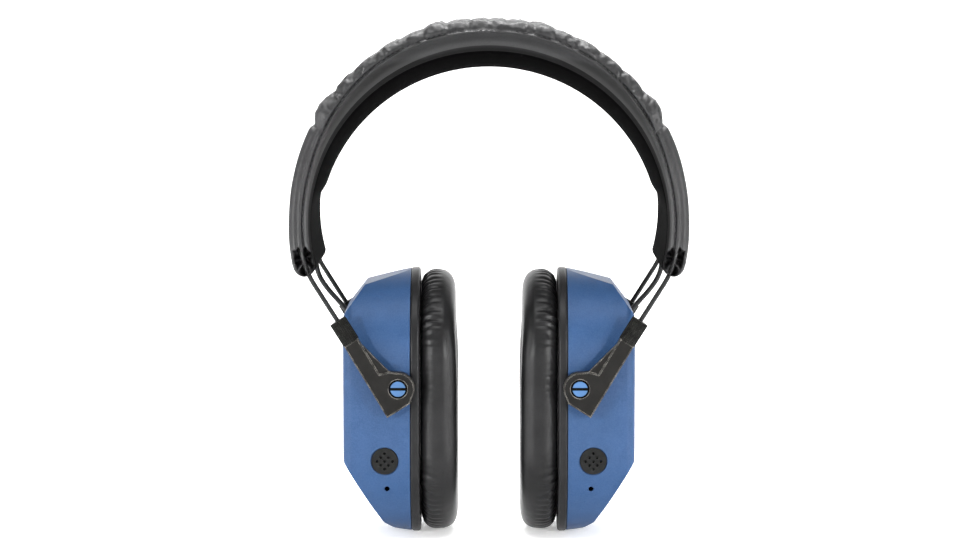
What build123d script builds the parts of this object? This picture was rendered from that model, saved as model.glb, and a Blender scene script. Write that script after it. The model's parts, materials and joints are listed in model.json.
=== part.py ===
"""Electronic earmuff hearing protector.

A padded headband holds two spring steel wires.  Each pair of wire legs slides in two yoke arms,
and an ear cup tilts on two studs between the arms.  The left cup holds the controls, the right
cup the batteries, and a thin cable in the headband joins them.

Millimetres, +X to the right, -Y to the front, +Z up.  The origin is the head saddle, the lowest
point of the padding under the crown.  Left-hand pieces are modelled and mirrored in the YZ plane.
"""
import os
from math import cos, radians, sin, sqrt, tan

from build123d import *

os.makedirs("parts", exist_ok=True)

# Headband: an elliptic arch in side profile that widens towards its two rounded ends
BAND_Z = -62.9  # centre of the arch
BAND_A, BAND_B = 82.5, 84.0  # outer half width and half height
BORE_A, BORE_B = 73.2, 70.7  # inner half width and half height
TIP_X, TIP_Z, TIP_R = 75.85, -80.1, 4.85  # rounded end of the band
COVER = 1.2  # leatherette thickness
BAND_EDGE = 2.5  # from a wire's centre to the band's front or rear face
END_OPENING_Z = -75.4  # top of the opening in the band's open ends
PAD_R, PAD_Z = 72.2, -72.2  # inner face of the crown pad, an arc about this height
PAD_HALF_W = 28.0
PAD_ANGLE = 68.0
PAD_RISE, PAD_THICK = 7.6, 6.0  # crown of the pad across its width, and its edge

# Spring wires: an arch in a plane that leans outwards, a bend, and a straight leg
WIRE_R = 1.0
ARCH_R = 78.0
WIRE_Y_MID = 37.5  # half the wire spacing at the centre of the arch
WIRE_PLANE_LEAN = 7.6
ARCH_END = 8.0  # degrees that the arch runs on below its centre
BEND = 8.0  # from each end of the bend to its corner
LEG_LEAN = 32.3
LEG_TO_SLEEVE = 25.8  # from the bend's corner to the top of the arm's collar
LEG_IN_ARM = 25.0
SLIDE_FIT = 0.05

# Link cable beside the rear wire, and its lead from the band's end to the cup
CABLE_R = 1.1
CABLE_INBOARD = 4.7
CABLE_ARCH_R = 77.5
CABLE_OUT = 14.0  # straight run from the arch out of the band's end
LEAD_STRAIGHT = 4.0
LEAD_ROUTE = [(-69.4, 35.0, -98.0), (-63.4, 34.2, -104.2), (-58.6, 33.4, -110.6)]
BOOT_R0, BOOT_R1, BOOT_LEN = 1.6, 2.2, 7.5
KEEPER_X, KEEPER_Z, KEEPER_R = -76.05, -79.5, 3.3

# Yoke arm, drawn along the leg (first) and across it (second)
COLLAR_LEN, COLLAR_R = 10.4, 3.45
COLLAR_RIBS, RIB_R = 24, 0.25
SPIGOT_R, SPIGOT_START = 2.2, 4.0
ARM_LOW, ARM_HIGH = -3.3, 3.2  # edges of the bar at the collar
ARM_LEN = 44.8
PLATE_KNEE = (29.0, 6.7)
ARM_SIDE = [  # bar that widens into the plate
    (COLLAR_LEN, ARM_LOW), (ARM_LEN, -4.2), (ARM_LEN, 6.9), (41.3, 11.1), (37.0, 6.0),
    (31.7, 10.0), PLATE_KNEE, (27.8, 2.8), (COLLAR_LEN, ARM_HIGH)
]
GUSSET_START, GUSSET_T = 13.4, 2.8
STUD_ALONG, STUD_ACROSS = 37.0, 6.0
ARM_BOSS_R = 6.8
BAR_INNER_GAP = 2.3  # from the wire's plane to the bar's inner face
ARM_INNER_GAP = 2.8  # from the wire's plane to the plate's inner face
ARM_OUTER_GAP = 2.5
ARM_EDGE = 0.4
WIRE_BORE_LEN = 41.0

# Ear cup
CUP_Z = -140.75  # centre of the cup's oval
RIM_X, RIM_T = -32.8, 4.0  # shell side of the base plate, and its thickness
RIM_H, RIM_W = 112.3, 72.0
SHELL_H, SHELL_W = 111.6, 71.4
SHELL_DEPTH = 27.9
SHELL_TAPER = 5.0
SHELL_ROUND, RIM_ROUND = 4.0, 1.2
WALL = 2.2
CUP_BOSS_R, CUP_BOSS_Y, CUP_BOSS_LEN = 4.0, 37.1, 8.0
STUD_R, STUD_HEAD_R, STUD_RECESS_R = 2.0, 3.3, 3.95
STUD_HEAD_T, STUD_RECESS_T, SLOT_W = 1.1, 1.2, 1.1
GRILLE_X, GRILLE_H = -43.3, -21.75  # height above the cup's centre
GRILLE_R, GRILLE_HOLE_R = 5.5, 0.55
PINHOLE_X, PINHOLE_H, PINHOLE_R = -42.4, -33.65, 1.1
CUSHION_X0, CUSHION_X1 = -28.6, -13.1
CUSHION_H, CUSHION_W = 110.0, 71.0
CUSHION_SKIN = 1.2
EAR_H, EAR_W = 66.0, 38.0  # opening for the ear
HEAD_ROUND, EAR_ROUND, CUP_ROUND = 7.5, 4.0, 5.0  # rounding of the cushion's edges
RING_INSET = 12.0
BAFFLE_H, BAFFLE_W = 78.0, 46.0
LINER_X, LINER_H, LINER_W, LINER_T, LINER_HOLE_R = -41.0, 84.0, 40.0, 4.0, 10.0
SCREW_Y, SCREW_Z, SCREW_R, SCREW_HEAD_R, SCREW_LEN = 56.0, 56.0, 1.0, 1.9, 9.0
SCREW_SEAT, POST_R, POST_WEB, POST_WEB_T = 1.4, 2.6, 7.0, 2.2
SPEAKER_R = 18.0

# Controls and battery compartment on the outer faces
PANEL_H = -11.15  # height of the raised panel above the cup's centre
PANEL_LEN, PANEL_TALL, PANEL_PROUD = 36.0, 9.0, 0.4
BUTTON_R, BUTTON_PITCH, BUTTON_GAP = 3.4, 11.0, 0.2
BUTTON_PROUD, BUTTON_FLANGE_T, BUTTON_TRAVEL = 0.2, 0.8, 0.5
BOARD_GAP, BOARD_T, BOARD_LEN, BOARD_TALL = 3.0, 1.6, 46.0, 44.0
DOOR_TOP, DOOR_BOTTOM, DOOR_HALF_W = 33.35, -17.0, 14.0  # heights above the cup's centre
DOOR_T, DOOR_GAP = 2.0, 0.3
PIN_R, KNUCKLE_R, KNUCKLE_HALF = 0.75, 1.6, 9.0
AAA_R, AAA_LEN = 5.25, 44.5
JACK_R, JACK_DEPTH, JACK_X, JACK_H = 1.75, 12.0, -47.0, -26.0
JACK_COLLAR_R = 3.2

OUTER_X = RIM_X - SHELL_DEPTH
CUP_SIDE = [  # shell's side profile: x, and height above the cup's centre
    (-20, 59.3), (-51.9, 50.2), (OUTER_X, 38.2), (OUTER_X, -22.15),
    (-44.1, -50.2), (-39.8, -53.6), (-20, -58.9)
]

wire_plane = Plane(
    origin=(0, -WIRE_Y_MID, BAND_Z),
    x_dir=(1, 0, 0),
    z_dir=(0, -cos(radians(WIRE_PLANE_LEAN)), sin(radians(WIRE_PLANE_LEAN))),
)
leg_dir = Vector(sin(radians(LEG_LEAN)), 0, -cos(radians(LEG_LEAN)))


def on_arch(radius, below, beyond=0.0):
    """Point of an arch in the front wire's plane, left side, and a distance on along its tangent."""
    turn = radians(below)
    local_x = -radius * cos(turn) + beyond * sin(turn)
    local_y = -radius * sin(turn) - beyond * cos(turn)
    return wire_plane.from_local_coords((local_x, local_y, 0))


def flip(point):
    """Mirror a point from the left to the right side."""
    return Vector(-point.X, point.Y, point.Z)


def keep(piece, name):
    """Label a finished piece and write it."""
    piece.part.label = name
    export_step(piece.part, f"parts/{name}.step")


def keep_pair(piece, name):
    """Write a left-hand piece, and its mirror image on the right."""
    keep(piece, f"left_{name}")
    with BuildPart() as twin:
        mirror(piece.part, about=Plane.YZ)
    keep(twin, f"right_{name}")


def keep_four(piece, name):
    """Write a piece of the left front arm, and its mirror images on the other three arms."""
    keep_pair(piece, f"front_{name}")
    with BuildPart() as twin:
        mirror(piece.part, about=Plane.XZ)
    keep_pair(twin, f"rear_{name}")


bend_start = on_arch(ARCH_R, ARCH_END)
bend_corner = on_arch(ARCH_R, ARCH_END, BEND)
collar_top = bend_corner + leg_dir * LEG_TO_SLEEVE
YOKE_Y = -bend_corner.Y
arm_plane = Plane(origin=collar_top, x_dir=leg_dir, z_dir=(0, -1, 0))
stud = arm_plane.from_local_coords((STUD_ALONG, STUD_ACROSS, 0))


def band_form(inset):
    """Headband's outer form, moved in by a thickness."""
    high = BAND_Z + BAND_B
    lean = tan(radians(WIRE_PLANE_LEAN))
    top_half = WIRE_Y_MID - BAND_B * lean + BAND_EDGE - inset
    low = TIP_Z - 2 * TIP_R
    low_half = top_half + (high - low) * lean
    with BuildPart() as form:
        with BuildSketch(Plane.XZ):
            with Locations((0, BAND_Z)):
                Ellipse(BAND_A - inset, BAND_B - inset)
                Ellipse(BORE_A + inset, BORE_B + inset, mode=Mode.SUBTRACT)
            with Locations((0, TIP_Z - BAND_B)):
                Rectangle(3 * BAND_A, 2 * BAND_B, mode=Mode.SUBTRACT)
            with Locations((-TIP_X, TIP_Z), (TIP_X, TIP_Z)):
                Circle(TIP_R - inset)
        extrude(amount=2 * PAD_HALF_W, both=True)
        with BuildSketch(Plane.YZ):
            Polygon((-top_half, high), (top_half, high), (low_half, low), (-low_half, low), align=None)
        extrude(amount=2 * BAND_A, both=True, mode=Mode.INTERSECT)
    return form.part


def wire_form(radius, leg):
    """Front wire as a rod: arch, two bends and two straight legs."""
    bend_end = bend_corner + leg_dir * BEND
    foot = bend_corner + leg_dir * leg
    pull = bend_corner - bend_start
    with BuildPart() as wire:
        with BuildLine():
            ThreePointArc(bend_start, on_arch(ARCH_R, -90), flip(bend_start))
            TangentArc(bend_start, bend_end, tangent=pull)
            Line(bend_end, foot)
            TangentArc(flip(bend_start), flip(bend_end), tangent=flip(pull))
            Line(flip(bend_end), flip(foot))
        with BuildSketch(Plane(origin=foot, z_dir=leg_dir)):
            Circle(radius)
        sweep()
    return wire.part


def cable_arch(radius):
    """Stretch of the link cable inside the headband, inboard of the rear wire."""
    inboard = Vector(0, CABLE_INBOARD, 0)
    start = on_arch(CABLE_ARCH_R, ARCH_END) + inboard
    corner = on_arch(CABLE_ARCH_R, ARCH_END, CABLE_OUT) + inboard
    with BuildPart() as cable:
        with BuildLine():
            ThreePointArc(start, on_arch(CABLE_ARCH_R, -90) + inboard, flip(start))
            Line(start, corner)
            Line(flip(start), flip(corner))
        with BuildSketch(Plane(origin=corner, z_dir=corner - start)):
            Circle(radius)
        sweep()
    with BuildPart() as rear:
        mirror(cable.part, about=Plane.XZ)
    return rear.part


def cup_face(x):
    """Plane across the left cup at x, facing outwards, with its origin on the cup's axis."""
    return Plane(origin=(x, 0, CUP_Z), x_dir=(0, -1, 0), z_dir=(-1, 0, 0))


def oval(x, height, width, thick):
    """Oval plate of the left cup that starts at x and grows outwards."""
    with BuildPart() as plate:
        with BuildSketch(cup_face(x)):
            SlotOverall(height, width, rotation=90)
        extrude(amount=thick)
    return plate.part


def cup_form(inset):
    """Left cup's outer form without its rounded edges, moved in by a wall thickness."""
    with BuildPart() as form:
        with BuildSketch(cup_face(RIM_X)):
            SlotOverall(SHELL_H - 2 * inset, SHELL_W - 2 * inset, rotation=90)
        extrude(amount=SHELL_DEPTH - inset, taper=SHELL_TAPER)
        with BuildSketch(Plane(origin=(0, 0, CUP_Z), x_dir=(1, 0, 0), z_dir=(0, -1, 0))):
            Polygon(*CUP_SIDE, align=None)
            if inset:
                offset(amount=-inset, kind=Kind.INTERSECTION)
        extrude(amount=SHELL_W, both=True, mode=Mode.INTERSECT)
    return form.part


def wall_y(x, h):
    """Depth of the cup's side wall at x and a height above the cup's centre."""
    shrink = (RIM_X - x) * tan(radians(SHELL_TAPER))
    end_r = SHELL_W / 2 - shrink
    over = max(0.0, abs(h) - (SHELL_H - SHELL_W) / 2)
    return sqrt(end_r**2 - over**2)


# ---- Headband ----
cover_inside = band_form(COVER)
front_channel = wire_form(WIRE_R + 0.15, LEG_TO_SLEEVE)
with BuildPart() as rear_channel:
    mirror(front_channel, about=Plane.XZ)
cable_channel = cable_arch(CABLE_R + 0.15)

with BuildPart() as headband_cover:
    add(band_form(0))
    add(cover_inside, mode=Mode.SUBTRACT)
    with BuildSketch(Plane.XZ):
        with Locations((-TIP_X, TIP_Z), (TIP_X, TIP_Z)):
            Circle(TIP_R - COVER)
            with Locations((0, (END_OPENING_Z - TIP_Z) / 2)):
                Rectangle(2 * (TIP_R - COVER), END_OPENING_Z - TIP_Z)
    extrude(amount=2 * PAD_HALF_W, both=True, mode=Mode.SUBTRACT)
    add(front_channel, mode=Mode.SUBTRACT)
    add(rear_channel.part, mode=Mode.SUBTRACT)
    add(cable_channel, mode=Mode.SUBTRACT)
keep(headband_cover, "headband_cover")

with BuildPart() as headband_foam:
    add(band_form(COVER + 0.05))
    with Locations((0, 0, END_OPENING_Z - BAND_B)):
        Box(4 * BAND_A, 4 * PAD_HALF_W, 2 * BAND_B, mode=Mode.SUBTRACT)
    add(front_channel, mode=Mode.SUBTRACT)
    add(rear_channel.part, mode=Mode.SUBTRACT)
    add(cable_channel, mode=Mode.SUBTRACT)
keep(headband_foam, "headband_foam")

with BuildPart() as crown_pad:
    with BuildSketch(Plane.YZ):
        with BuildLine():
            chord = PAD_R + PAD_RISE
            ThreePointArc((-PAD_HALF_W, PAD_Z + chord), (0, PAD_Z + PAD_R), (PAD_HALF_W, PAD_Z + chord))
            Polyline(
                (PAD_HALF_W, PAD_Z + chord), (PAD_HALF_W, PAD_Z + chord + PAD_THICK),
                (-PAD_HALF_W, PAD_Z + chord + PAD_THICK), (-PAD_HALF_W, PAD_Z + chord),
            )
        make_face()
    revolve(axis=Axis((0, 0, PAD_Z), (0, 1, 0)), revolution_arc=2 * PAD_ANGLE)
with BuildPart() as headband_pad:
    with Locations(Pos(0, 0, PAD_Z) * Rotation(0, -PAD_ANGLE, 0) * Pos(0, 0, -PAD_Z)):
        add(crown_pad.part)
    with BuildSketch(Plane.XZ):
        with Locations((0, BAND_Z)):
            Ellipse(BAND_A + 20, BAND_B + 20)
            Ellipse(BORE_A - 0.05, BORE_B - 0.05, mode=Mode.SUBTRACT)
    extrude(amount=2 * PAD_HALF_W, both=True, mode=Mode.SUBTRACT)
keep(headband_pad, "headband_pad")

with BuildPart() as front_wire:
    add(wire_form(WIRE_R, LEG_TO_SLEEVE + LEG_IN_ARM))
keep(front_wire, "front_wire")
with BuildPart() as rear_wire:
    mirror(front_wire.part, about=Plane.XZ)
keep(rear_wire, "rear_wire")

with BuildPart() as link_cable:
    add(cable_arch(CABLE_R))
keep(link_cable, "link_cable")

with BuildPart() as wire_keeper:
    with BuildSketch(Plane.XZ):
        with Locations((KEEPER_X, KEEPER_Z)):
            Circle(KEEPER_R)
    extrude(amount=YOKE_Y + 1.8, both=True)
    chamfer(wire_keeper.edges().filter_by(GeomType.CIRCLE), 0.6)
    add(front_channel, mode=Mode.SUBTRACT)
    add(rear_channel.part, mode=Mode.SUBTRACT)
    add(cable_channel, mode=Mode.SUBTRACT)
keep_pair(wire_keeper, "wire_keeper")

# ---- Cable between the headband and the cups ----
lead_points = []
for beyond in (CABLE_OUT, CABLE_OUT + LEAD_STRAIGHT):
    point = on_arch(CABLE_ARCH_R, ARCH_END, beyond)
    lead_points.append(Vector(point.X, -point.Y - CABLE_INBOARD, point.Z))
lead_points += [Vector(*point) for point in LEAD_ROUTE]
lead_radii = []
for before, at, after in zip(lead_points, lead_points[1:], lead_points[2:]):
    turn = (at - before).get_angle(after - at)
    shorter = min((at - before).length, (after - at).length)
    lead_radii.append(0.45 * shorter / tan(radians(turn / 2)))
print("cable bend radii", [round(radius, 1) for radius in lead_radii])
boot_dir = (lead_points[-1] - lead_points[-2]).normalized()
boot_plane = Plane(origin=lead_points[-1], z_dir=boot_dir)

with BuildPart() as cable_lead:
    with BuildLine() as lead_line:
        FilletPolyline(*lead_points, radius=lead_radii)
    with BuildSketch(Plane(origin=lead_points[0], z_dir=lead_points[1] - lead_points[0])):
        Circle(CABLE_R)
    sweep()
keep_pair(cable_lead, "cable_lead")
print("cable lead length", round(sum(edge.length for edge in lead_line.line.edges()), 1))

with BuildPart() as cable_boot:
    with BuildSketch(boot_plane):
        Circle(BOOT_R0)
    with BuildSketch(boot_plane.offset(BOOT_LEN)):
        Circle(BOOT_R1)
    loft()
keep_pair(cable_boot, "cable_boot")

# ---- Yoke arms ----
tube_plane = Plane(origin=collar_top, x_dir=(0, 1, 0), z_dir=leg_dir)
outer_face = Plane(origin=collar_top + Vector(0, -ARM_OUTER_GAP, 0), x_dir=leg_dir, z_dir=(0, 1, 0))
with BuildPart() as arm:
    with BuildSketch(arm_plane.offset(ARM_OUTER_GAP)):
        Polygon(*ARM_SIDE, align=None)
        with Locations((STUD_ALONG, STUD_ACROSS)):
            Circle(ARM_BOSS_R)
    extrude(amount=-BAR_INNER_GAP - ARM_OUTER_GAP)
    chamfer(arm.faces().sort_by(Axis.Y)[0].outer_wire().edges(), ARM_EDGE)
    with BuildSketch(tube_plane.offset(SPIGOT_START)):
        Circle(SPIGOT_R)
    extrude(amount=COLLAR_LEN - SPIGOT_START)
    with BuildSketch(arm_plane.offset(-BAR_INNER_GAP + 0.5)):
        with Locations((STUD_ALONG, STUD_ACROSS)):
            Circle(ARM_BOSS_R)
    extrude(amount=BAR_INNER_GAP - ARM_INNER_GAP - 0.5)
    with BuildSketch(arm_plane.offset(-GUSSET_T / 2)):
        Polygon((GUSSET_START, 0), (GUSSET_START, ARM_HIGH), PLATE_KNEE, (PLATE_KNEE[0], 0), align=None)
    extrude(amount=GUSSET_T)
    with BuildSketch(arm_plane.offset(ARM_OUTER_GAP)):
        with Locations((STUD_ALONG, STUD_ACROSS)):
            Circle(STUD_RECESS_R)
    extrude(amount=-STUD_RECESS_T, mode=Mode.SUBTRACT)
    with BuildSketch(arm_plane.offset(ARM_OUTER_GAP)):
        with Locations((STUD_ALONG, STUD_ACROSS)):
            Circle(STUD_R + SLIDE_FIT)
    extrude(amount=-2 * ARM_INNER_GAP - ARM_OUTER_GAP, mode=Mode.SUBTRACT)
    with BuildSketch(tube_plane):
        Circle(WIRE_R + SLIDE_FIT)
    extrude(amount=WIRE_BORE_LEN, mode=Mode.SUBTRACT)
keep_four(arm, "arm")

with BuildPart() as collar:
    with BuildSketch(tube_plane):
        Circle(COLLAR_R)
        with PolarLocations(COLLAR_R, COLLAR_RIBS):
            Circle(RIB_R)
    extrude(amount=COLLAR_LEN)
    with BuildSketch(tube_plane):
        Circle(WIRE_R + SLIDE_FIT)
    extrude(amount=COLLAR_LEN, mode=Mode.SUBTRACT)
    with BuildSketch(tube_plane.offset(1.0)):
        Circle(SPIGOT_R)
    extrude(amount=COLLAR_LEN, mode=Mode.SUBTRACT)
keep_four(collar, "collar")

with BuildPart() as bush:
    with BuildSketch(tube_plane.offset(1.0)):
        Circle(SPIGOT_R)
        Circle(WIRE_R + SLIDE_FIT, mode=Mode.SUBTRACT)
    extrude(amount=SPIGOT_START - 1.0)
    mirror(about=Plane.XZ)
keep_pair(bush, "wire_bushes")

# ---- Ear cups: pieces that both cups have ----
boot_seat = cable_boot.part
grille_y = wall_y(GRILLE_X, GRILLE_H)
pinhole_y = wall_y(PINHOLE_X, PINHOLE_H)
grille_plane = Plane(
    origin=(GRILLE_X, -grille_y, CUP_Z + GRILLE_H), x_dir=(1, 0, 0), z_dir=(-sin(radians(SHELL_TAPER)), -1, 0)
)
pinhole_plane = Plane(origin=(PINHOLE_X, -pinhole_y, CUP_Z + PINHOLE_H), x_dir=(1, 0, 0), z_dir=(0, -1, 0))
stud_front = Plane(origin=(stud.X, 0, stud.Z), x_dir=(1, 0, 0), z_dir=(0, -1, 0))
panel_face = cup_face(OUTER_X)


with BuildPart() as posts:
    with BuildSketch(cup_face(RIM_X)):
        with GridLocations(SCREW_Y, SCREW_Z, 2, 2):
            Circle(POST_R)
        with GridLocations(SCREW_Y + POST_WEB, SCREW_Z, 2, 2):
            Rectangle(POST_WEB, POST_WEB_T)
    extrude(amount=SCREW_LEN)
    add(cup_form(0.5), mode=Mode.INTERSECT)
screw_posts = posts.part


def outer_shell():
    """Left cup's shell without its controls: walls, stud bosses, microphone seat and pinhole."""
    with BuildPart() as shell:
        add(cup_form(0))
        outer = shell.faces().sort_by(Axis.X)[0]
        fillet(outer.edges(), SHELL_ROUND)
        with BuildSketch(stud_front.offset(wall_y(stud.X, 0) - 3.0)):
            Circle(CUP_BOSS_R)
        extrude(amount=CUP_BOSS_Y - wall_y(stud.X, 0) + 3.0)
        mirror(about=Plane.XZ)
        add(cup_form(WALL), mode=Mode.SUBTRACT)
        with BuildSketch(stud_front.offset(-CUP_BOSS_Y)):
            Circle(CUP_BOSS_R)
        extrude(amount=CUP_BOSS_LEN)
        with BuildSketch(stud_front.offset(CUP_BOSS_Y - CUP_BOSS_LEN)):
            Circle(CUP_BOSS_R)
        extrude(amount=CUP_BOSS_LEN)
        with BuildSketch(stud_front):
            Circle(STUD_R)
        extrude(amount=2 * CUP_BOSS_Y, both=True, mode=Mode.SUBTRACT)
        with BuildSketch(grille_plane.offset(1.0)):
            Circle(GRILLE_R + 0.4)
        extrude(amount=-2.2, mode=Mode.SUBTRACT)
        with BuildSketch(grille_plane.offset(1.0)):
            Circle(GRILLE_R - 1.5)
        extrude(amount=-6.0, mode=Mode.SUBTRACT)
        with BuildSketch(pinhole_plane.offset(1.0)):
            Circle(PINHOLE_R)
        extrude(amount=-6.0, mode=Mode.SUBTRACT)
        add(boot_seat, mode=Mode.SUBTRACT)
        add(screw_posts)
        with BuildSketch(cup_face(RIM_X)):
            with GridLocations(SCREW_Y, SCREW_Z, 2, 2):
                Circle(SCREW_R)
        extrude(amount=SCREW_LEN - RIM_T + SCREW_SEAT, mode=Mode.SUBTRACT)
        with BuildSketch(panel_face):
            with Locations((0, PANEL_H)):
                SlotOverall(PANEL_LEN, PANEL_TALL)
        extrude(amount=PANEL_PROUD)
    return shell.part


with BuildPart() as base_plate:
    with BuildSketch(cup_face(RIM_X + RIM_T)):
        SlotOverall(RIM_H, RIM_W, rotation=90)
        SlotOverall(BAFFLE_H, BAFFLE_W, rotation=90, mode=Mode.SUBTRACT)
    extrude(amount=RIM_T)
    outline = base_plate.faces().sort_by(Axis.X)[0].outer_wire().edges()
    outline += base_plate.faces().sort_by(Axis.X)[-1].outer_wire().edges()
    fillet(outline, RIM_ROUND)
    with BuildSketch(cup_face(RIM_X + RIM_T)):
        with GridLocations(SCREW_Y, SCREW_Z, 2, 2):
            Circle(SCREW_R + 0.1)
    extrude(amount=RIM_T, mode=Mode.SUBTRACT)
    with BuildSketch(cup_face(RIM_X + RIM_T)):
        with GridLocations(SCREW_Y, SCREW_Z, 2, 2):
            Circle(SCREW_HEAD_R + 0.1)
    extrude(amount=SCREW_SEAT, mode=Mode.SUBTRACT)
keep_pair(base_plate, "base_plate")

with BuildPart() as baffle:
    with BuildSketch(cup_face(RIM_X + 2.4)):
        SlotOverall(BAFFLE_H - 0.1, BAFFLE_W - 0.1, rotation=90)
        Circle(SPEAKER_R - 3.0, mode=Mode.SUBTRACT)
    extrude(amount=1.6)
    with BuildSketch(cup_face(RIM_X + 0.8)):
        Circle(SPEAKER_R + 1.6)
        Circle(SPEAKER_R + 0.1, mode=Mode.SUBTRACT)
    extrude(amount=5.0)
    with BuildSketch(cup_face(RIM_X + 2.4)):
        Circle(SPEAKER_R - 2.5)
        with PolarLocations(9.0, 8):
            Circle(2.2, mode=Mode.SUBTRACT)
        Circle(3.0, mode=Mode.SUBTRACT)
    extrude(amount=0.8)
keep_pair(baffle, "baffle")

with BuildPart() as speaker:
    with BuildSketch(Plane(origin=(RIM_X + 0.8, 0, CUP_Z), x_dir=(0, 1, 0), z_dir=(0, 0, 1))):
        with BuildLine():
            Polyline(
                (0, 3.0), (6.0, 3.0), (SPEAKER_R - 2.0, 0.0), (SPEAKER_R, 0.0), (SPEAKER_R, 2.0),
                (SPEAKER_R - 4.0, 5.5), (9.0, 6.5), (9.0, 9.5), (0, 9.5), close=True,
            )
        make_face()
    revolve(axis=Axis((0, 0, CUP_Z), (1, 0, 0)))
keep_pair(speaker, "speaker")

with BuildPart() as scrim:
    add(oval(RIM_X + 3.6, BAFFLE_H - 0.4, BAFFLE_W - 0.4, 1.0))
keep_pair(scrim, "scrim")

with BuildPart() as studs:
    with BuildSketch(stud_front.offset(YOKE_Y + ARM_OUTER_GAP - STUD_RECESS_T + 0.1)):
        Circle(STUD_HEAD_R)
    extrude(amount=STUD_HEAD_T)
    with BuildSketch(stud_front.offset(CUP_BOSS_Y - 7.0)):
        Circle(STUD_R)
    extrude(amount=YOKE_Y + ARM_OUTER_GAP - STUD_RECESS_T - CUP_BOSS_Y + 7.2)
    with BuildSketch(stud_front.offset(YOKE_Y + ARM_OUTER_GAP)):
        Rectangle(2 * STUD_HEAD_R, SLOT_W)
    extrude(amount=-0.9, mode=Mode.SUBTRACT)
    mirror(about=Plane.XZ)
keep_pair(studs, "studs")

with BuildPart() as mic_grille:
    with BuildSketch(grille_plane.offset(-1.2)):
        Circle(GRILLE_R)
    extrude(amount=1.0)
    with BuildSketch(grille_plane):
        with Locations((0, 0)):
            Circle(GRILLE_HOLE_R)
        with PolarLocations(3.2, 4):
            Circle(GRILLE_HOLE_R)
        with PolarLocations(2.26, 4, start_angle=45):
            Circle(GRILLE_HOLE_R)
    extrude(amount=-3.0, mode=Mode.SUBTRACT)
keep_pair(mic_grille, "mic_grille")

with BuildPart() as microphone:
    with BuildSketch(grille_plane.offset(-2.4)):
        Circle(3.0)
    extrude(amount=-2.5)
keep_pair(microphone, "microphone")

with BuildPart() as foam_liner:
    add(oval(LINER_X, LINER_H, LINER_W, LINER_T))
    with BuildSketch(cup_face(LINER_X)):
        Circle(LINER_HOLE_R)
    extrude(amount=LINER_T, mode=Mode.SUBTRACT)
keep_pair(foam_liner, "foam_liner")

with BuildPart() as cup_screws:
    with BuildSketch(cup_face(RIM_X + RIM_T - SCREW_SEAT)):
        with GridLocations(SCREW_Y, SCREW_Z, 2, 2):
            Circle(SCREW_R)
    extrude(amount=SCREW_LEN)
    with BuildSketch(cup_face(RIM_X + RIM_T - 0.3)):
        with GridLocations(SCREW_Y, SCREW_Z, 2, 2):
            Circle(SCREW_HEAD_R)
    extrude(amount=1.1)
    with BuildSketch(cup_face(RIM_X + RIM_T - 0.3)):
        with GridLocations(SCREW_Y, SCREW_Z, 2, 2):
            Rectangle(2.4, 0.6)
            Rectangle(0.6, 2.4)
    extrude(amount=0.7, mode=Mode.SUBTRACT)
keep_pair(cup_screws, "cup_screws")

# ---- Ear cushions ----
def cushion_form(inset):
    """Oval ring with rounded edges, moved in by the cover's thickness."""
    depth = CUSHION_X1 - CUSHION_X0
    with BuildPart() as ring:
        with BuildSketch(cup_face(CUSHION_X1 - inset)):
            SlotOverall(CUSHION_H - 2 * inset, CUSHION_W - 2 * inset, rotation=90)
            SlotOverall(EAR_H + 2 * inset, EAR_W + 2 * inset, rotation=90, mode=Mode.SUBTRACT)
        extrude(amount=depth - 2 * inset)
        head_side = ring.faces().sort_by(Axis.X)[-1]
        cup_side = ring.faces().sort_by(Axis.X)[0]
        fillet(head_side.outer_wire().edges(), HEAD_ROUND - inset)
        fillet(head_side.inner_wires()[0].edges(), EAR_ROUND - inset)
        fillet(cup_side.outer_wire().edges(), CUP_ROUND - inset)
    return ring.part


cushion_core = cushion_form(CUSHION_SKIN)
with BuildPart() as cushion_ring:
    with BuildSketch(cup_face(CUSHION_X0 + CUSHION_SKIN)):
        SlotOverall(CUSHION_H - RING_INSET, CUSHION_W - RING_INSET, rotation=90)
        SlotOverall(EAR_H + 4, EAR_W + 4, rotation=90, mode=Mode.SUBTRACT)
    extrude(amount=CUSHION_SKIN)
keep_pair(cushion_ring, "cushion_ring")

with BuildPart() as cushion_cover:
    add(cushion_form(0))
    add(cushion_core, mode=Mode.SUBTRACT)
    add(cushion_ring.part, mode=Mode.SUBTRACT)
keep_pair(cushion_cover, "cushion_cover")

with BuildPart() as cushion_foam:
    add(cushion_core)
keep_pair(cushion_foam, "cushion_foam")

# ---- Left cup: shell with three buttons, circuit board and audio jack ----
button_faces = [(pitch * BUTTON_PITCH, PANEL_H) for pitch in (-1, 0, 1)]
jack_y = wall_y(JACK_X, JACK_H)
jack_plane = Plane(origin=(JACK_X, jack_y + 0.3, CUP_Z + JACK_H), x_dir=(1, 0, 0), z_dir=(0, 1, 0))

with BuildPart() as left_shell:
    add(outer_shell())
    with BuildSketch(panel_face.offset(PANEL_PROUD)):
        with Locations(*button_faces):
            Circle(BUTTON_R + BUTTON_GAP)
    extrude(amount=-PANEL_PROUD - WALL - 0.5, mode=Mode.SUBTRACT)
    with BuildSketch(jack_plane):
        Circle(JACK_COLLAR_R)
    extrude(amount=-JACK_DEPTH / 2, mode=Mode.SUBTRACT)
keep(left_shell, "left_shell")

for name, place in zip(("volume_up_button", "power_button", "volume_down_button"), button_faces):
    with BuildPart() as button:
        with BuildSketch(panel_face.offset(PANEL_PROUD + BUTTON_PROUD)):
            with Locations(place):
                Circle(BUTTON_R)
        extrude(amount=-PANEL_PROUD - BUTTON_PROUD - WALL - BUTTON_FLANGE_T - 0.1)
        fillet(button.faces().sort_by(Axis.X)[0].edges(), 0.5)
        with BuildSketch(panel_face.offset(-WALL - 0.1)):
            with Locations(place):
                Circle(BUTTON_R + 0.9)
        extrude(amount=-BUTTON_FLANGE_T)
    keep(button, name)

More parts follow.
